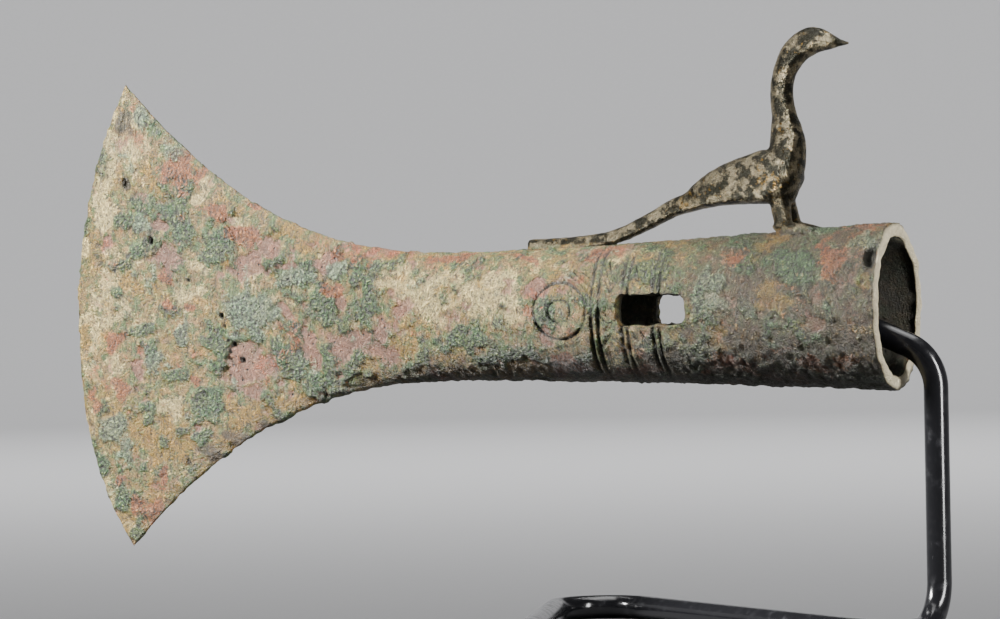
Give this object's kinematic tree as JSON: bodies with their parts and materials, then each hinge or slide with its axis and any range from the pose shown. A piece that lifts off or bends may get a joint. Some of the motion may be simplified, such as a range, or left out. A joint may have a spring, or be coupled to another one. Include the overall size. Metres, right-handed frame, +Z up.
{
  "type": "bronze age axe head",
  "caption": "Socketed axe head with a fan-shaped blade and a long-necked bird cast on its socket, held level by a bent black steel rod stand.",
  "frame": {"origin": "on the ground, at the middle of the bounding box's bottom", "axes": "+X along the axe from the cutting edge to the socket's mouth, +Z up, -Y the side that carries the clearer ornament"},
  "size_m": [0.2372, 0.1304, 0.1479],
  "materials": {
    "bronze": "corroded bronze with a mottled green, grey, ochre and dull red patina, matt to satin",
    "black_lacquer": "smooth glossy black lacquer on a steel rod"
  },
  "bodies": {
    "root": {"axe_head": "bronze", "display_stand": "black_lacquer"}
  },
  "joints": []
}
